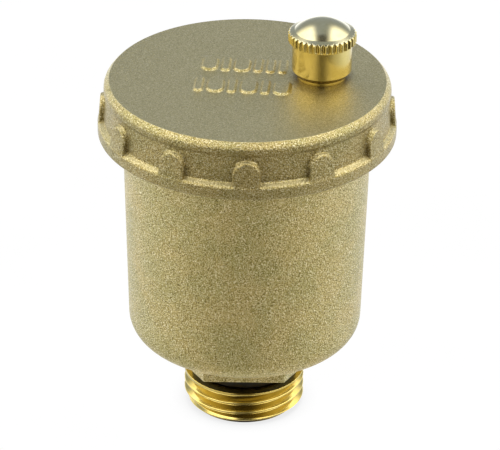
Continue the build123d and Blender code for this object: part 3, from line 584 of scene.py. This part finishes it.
def cast_brass():
    """A shot-blasted forging: finely wrinkled olive-gold metal. It is duller and greyer on top, where a cool
    reflection from above is painted into the colour. It is darker on the cover's side and in corners and
    recesses, where shade is painted into the colour.
    """
    material, n = new_material("cast_brass")
    place = n.place()
    split = n.add("SeparateXYZ")
    n.feed(split.inputs[0], place)
    facing = n.add("SeparateXYZ")
    n.feed(facing.inputs[0], n.add("NewGeometry").outputs["Normal"])
    # share of the painted reflection: how far a face looks up
    sky_tint_share = n.span(facing.outputs[2], 0.6, 0.95)
    mottle = n.noise(place, MOTTLE_SIZE)
    grain = n.noise(place, GRAIN_SIZE, rough=0.62)
    speck = n.noise(place, SPECK_SIZE, detail=2.0, rough=0.6)
    rugged = n.span(facing.outputs[2], 0.97, 0.6, 0.45, 1.0)
    bright = n.math("MULTIPLY", n.span(speck, 0.50, 0.68), rugged)
    dark = n.math("MULTIPLY", n.span(speck, 0.48, 0.34), rugged)
    colour = n.mix(n.span(mottle, 0.35, 0.65), srgb(177, 163, 98), srgb(193, 172, 105))
    # painted reflection: faces that look up turn greyer, standing in for the cool light from above
    colour = n.mix(sky_tint_share, colour, srgb(184, 171, 121))
    colour = n.mix(n.math("MULTIPLY", bright, SPECK_STRENGTH), colour, srgb(252, 242, 200))
    colour = n.mix(n.math("MULTIPLY", dark, SPECK_STRENGTH), colour, srgb(88, 76, 36))
    # painted shade: the cover's upright faces are darkened towards dark brown
    on_cover = n.span(split.outputs[2], POT_TOP_Z - 0.3, POT_TOP_Z + 0.1)
    side_shade_share = n.span(facing.outputs[2], 0.80, 0.1, 0.0, COVER_SIDE_SHADE)
    colour = n.mix(n.math("MULTIPLY", on_cover, side_shade_share), colour, srgb(92, 76, 44))
    # painted shade: ambient occlusion darkens corners, creases and the pot under the band towards dark brown
    recess_shade = n.add("AmbientOcclusion", samples=6)
    recess_shade.inputs["Distance"].default_value = RECESS_SHADE_REACH * MM
    colour = n.mix(n.span(recess_shade.outputs["AO"], 0.8, 0.25, 0.0, RECESS_SHADE_STRENGTH), colour, srgb(76, 60, 32))
    roughness = n.span(grain, 0.3, 0.7, HOLLOW_ROUGHNESS, PEAK_ROUGHNESS)
    wrinkles = n.bump(n.math("MULTIPLY", grain, rugged), WRINKLE_DEPTH)
    normal = n.bump(n.math("MULTIPLY", speck, rugged), SPECK_DEPTH, wrinkles)
    n.surface(colour, metallic=1.0, roughness=roughness, normal=normal)
    return material


def turned_brass(name, light, dark, rough):
    """Bright machined brass with fine turning marks round the vertical axis."""
    material, n = new_material(name)
    place = n.place()
    split = n.add("SeparateXYZ")
    n.feed(split.inputs[0], place)
    rings = n.add("CombineXYZ")
    n.feed(rings.inputs[2], split.outputs[2])
    marks = n.noise(rings.outputs[0], size=0.11, detail=2.0)
    stain = n.noise(place, size=3.0)
    colour = n.mix(n.span(stain, 0.35, 0.65), light, dark)
    roughness = n.math("ADD", rough, n.span(stain, 0.3, 0.7, 0.0, 0.06))
    n.surface(colour, metallic=1.0, roughness=roughness, normal=n.bump(marks, depth=0.003))
    return material


def black_rubber():
    material, n = new_material("black_rubber")
    place = n.place()
    bloom = n.noise(place, size=1.6)
    colour = n.mix(n.span(bloom, 0.4, 0.7), srgb(20, 20, 21), srgb(38, 37, 36))
    skin = n.bump(n.noise(place, size=0.2, detail=2.0), depth=0.01)
    n.surface(colour, metallic=0.0, roughness=n.span(bloom, 0.3, 0.7, 0.42, 0.6), normal=skin)
    return material


def moulded_plastic(name, light, dark):
    material, n = new_material(name)
    place = n.place()
    cloud = n.noise(place, size=5.0)
    colour = n.mix(n.span(cloud, 0.35, 0.65), light, dark)
    skin = n.bump(n.noise(place, size=0.5, detail=2.0), depth=0.01)
    n.surface(colour, metallic=0.0, roughness=n.span(cloud, 0.3, 0.7, 0.36, 0.46), normal=skin)
    return material


def stainless_steel():
    """Rolled strip: drawn-out fine scratches and a mild satin."""
    material, n = new_material("stainless_steel")
    place = n.place()
    stretch = n.add("VectorMath", operation="MULTIPLY")
    n.feed(stretch.inputs[0], place)
    stretch.inputs[1].default_value = (1.0, 1.0, 0.06)
    scratches = n.noise(stretch.outputs[0], size=0.09, detail=2.0)
    colour = n.mix(n.span(scratches, 0.4, 0.6), srgb(188, 188, 186), srgb(214, 213, 210))
    roughness = n.span(scratches, 0.35, 0.65, 0.22, 0.34)
    n.surface(colour, metallic=1.0, roughness=roughness, normal=n.bump(scratches, depth=0.004))
    return material


# ---- The object -----------------------------------------------------------------------------------
def dress(piece, main, second, is_second):
    """Gives a piece its main material, and a second one to the faces that is_second(radius, height) picks."""
    mesh = piece.data
    mesh.materials.clear()
    mesh.materials.append(main)
    mesh.materials.append(second)
    centres = np.empty(len(mesh.polygons) * 3, np.float32)
    mesh.polygons.foreach_get("center", centres)
    x, y, z = centres.reshape(-1, 3).T / MM
    chosen = is_second(np.hypot(x, y), z)
    mesh.polygons.foreach_set("material_index", chosen.astype(np.int32))


forged = cast_brass()
bright = turned_brass("turned_brass", srgb(214, 191, 110), srgb(204, 179, 92), 0.15)
barrel = turned_brass("cap_brass", srgb(214, 194, 122), srgb(206, 186, 110), 0.15)
# painted highlight: a paler copy of the cap's brass, standing in for the soft boxes' glare on the dome and the
# knurl's top
painted_highlight = turned_brass("painted_highlight_brass", srgb(198, 189, 148), srgb(188, 178, 134), 0.17)
rubber = black_rubber()
steel = stainless_steel()
acetal = moulded_plastic("white_acetal", srgb(236, 234, 224), srgb(226, 223, 210))
float_grey = moulded_plastic("float_plastic", srgb(222, 219, 206), srgb(208, 204, 190))
FINISH = {
    "cast_brass": forged,
    "turned_brass": bright,
    "seal_rubber": rubber,
    "stainless_steel": steel,
    "white_acetal": acetal,
    "float_plastic": float_grey,
}

for entry in frame["record"]["subparts"]:
    node = frame["nodes"][entry["node"]]
    for index in range(len(node.material_slots)):
        node.material_slots[index].material = FINISH[entry["material_slot"]]

for make, body, node, main, second, slot_name in (
    (make_pot, "pot", "body", forged, bright, "cast_brass"),
    (make_cover, "lid", "cover", forged, bright, "cast_brass"),
    (make_vent_cap, "cap", "vent_cap", barrel, painted_highlight, "turned_brass"),
):
    made, is_second = make()
    dress(made, main, second, is_second)
    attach(made, body)
    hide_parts(node)


def fit_spring():
    """Hangs the coil from the lid."""
    spring = make_spring()
    spring.data.materials.append(steel)
    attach(spring, "lid")
    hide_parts("valve_spring")
    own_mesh(spring)


fit_spring()


# ---- Stage, light and camera ----------------------------------------------------------------------
def make_floor():
    """A white sweep that shows only a faint shadow where the part stands on it, and nothing from below."""
    mesh = bpy.data.meshes.new("floor")
    corners = [(-1, -1), (1, -1), (1, 1), (-1, 1)]
    mesh.from_pydata([(FLOOR_HALF * MM * x, FLOOR_HALF * MM * y, 0) for x, y in corners], [], [(0, 1, 2, 3)])
    floor = bpy.data.objects.new("floor", mesh)
    bpy.context.scene.collection.objects.link(floor)
    material, n = new_material("floor")
    near = n.add("AmbientOcclusion", samples=8)
    near.inputs["Distance"].default_value = SHADOW_REACH * MM
    shade = n.span(near.outputs["AO"], 0.2, 0.8, SHADOW_LEVEL, 1.0)
    drift = n.span(n.noise(n.place(), size=40.0), 0.3, 0.7, 0.0, 0.01)
    glow = n.add("Emission")
    n.feed(glow.inputs["Color"], n.math("ADD", shade, drift))
    from_below = n.add("MixShader")
    n.feed(from_below.inputs[0], n.add("NewGeometry").outputs["Backfacing"])
    n.feed(from_below.inputs[1], glow.outputs[0])
    n.feed(from_below.inputs[2], n.add("BsdfTransparent").outputs[0])
    n.feed(n.add("OutputMaterial").inputs["Surface"], from_below.outputs[0])
    floor.data.materials.append(material)
    floor.visible_glossy = False
    floor.visible_diffuse = False


def make_world():
    """What the part reflects: a white table, bright flanks, a dark front and two soft boxes above."""
    world = bpy.data.worlds.new("studio")
    bpy.context.scene.world = world
    world.use_nodes = True
    n = Nodes(world.node_tree)
    split = n.add("SeparateXYZ")
    n.feed(split.inputs[0], n.add("TexCoord").outputs["Generated"])
    x, y, z = split.outputs
    # turn is the angle from the camera's side; across and towards are the view's shares sideways and forwards
    turn = n.math("SUBTRACT", n.math("ARCTAN2", x, n.math("MULTIPLY", y, -1.0)), LUG_TURN)
    side = n.math("ABSOLUTE", turn)
    level = n.math("SQRT", n.math("SUBTRACT", 1.0, n.math("MULTIPLY", z, z)))
    across = n.math("MULTIPLY", level, n.math("ABSOLUTE", n.math("SINE", turn)))
    towards = n.math("MULTIPLY", level, n.math("COSINE", turn))
    flank = n.mix(n.span(z, *FLANK_HEIGHTS), LOW_FLANK, HIGH_FLANK)
    below = n.mix(n.span(side, *FLANK_TURNS), DIM_FRONT, flank)
    below = n.mix(n.span(side, *DARK_TURNS), below, DARK_FRONT)
    below = n.mix(n.span(z, *TABLE_HEIGHTS, 0.0, 0.9), below, TABLE)
    above = n.mix(n.span(side, *SKY_TURNS), FRONT_SKY, BACK_SKY)
    light = n.mix(n.span(z, *SKY_HEIGHTS), below, above)
    wide = n.math("MULTIPLY", n.span(across, *BOX_INNER), n.span(across, *BOX_OUTER))
    deep = n.math("MULTIPLY", n.span(towards, *BOX_BACK), n.span(z, *BOX_LOW))
    light = n.mix(n.math("MULTIPLY", wide, deep), light, SOFT_BOX)
    shown = n.mix(n.add("LightPath").outputs["Is Camera Ray"], light, (1, 1, 1, 1))
    glow = n.add("Background")
    n.feed(glow.inputs["Color"], shown)
    n.feed(n.add("OutputWorld").inputs["Surface"], glow.outputs[0])


def make_camera():
    """The camera, on the side that the front lug faces."""
    data = bpy.data.cameras.new("camera")
    data.sensor_width = SENSOR_WIDTH
    data.lens = FOCAL_SHARE * SENSOR_WIDTH
    data.shift_x, data.shift_y = SHIFT_X, SHIFT_Y
    data.clip_start, data.clip_end = NEAR_CLIP * MM, FAR_CLIP * MM
    camera = bpy.data.objects.new("camera", data)
    bpy.context.scene.collection.objects.link(camera)
    level = cos(CAMERA_RISE)
    back = Vector((sin(LUG_TURN) * level, -cos(LUG_TURN) * level, sin(CAMERA_RISE)))
    turn = back.to_track_quat("Z", "Y").to_matrix().to_4x4()
    place = Vector((0, 0, CAMERA_AIM_Z * MM)) + back * (CAMERA_DISTANCE * MM)
    camera.matrix_world = Matrix.Translation(place) @ turn @ Matrix.Rotation(CAMERA_ROLL, 4, "Z")
    bpy.context.scene.camera = camera


make_floor()
make_world()
make_camera()
bpy.context.scene.view_settings.view_transform = "Standard"
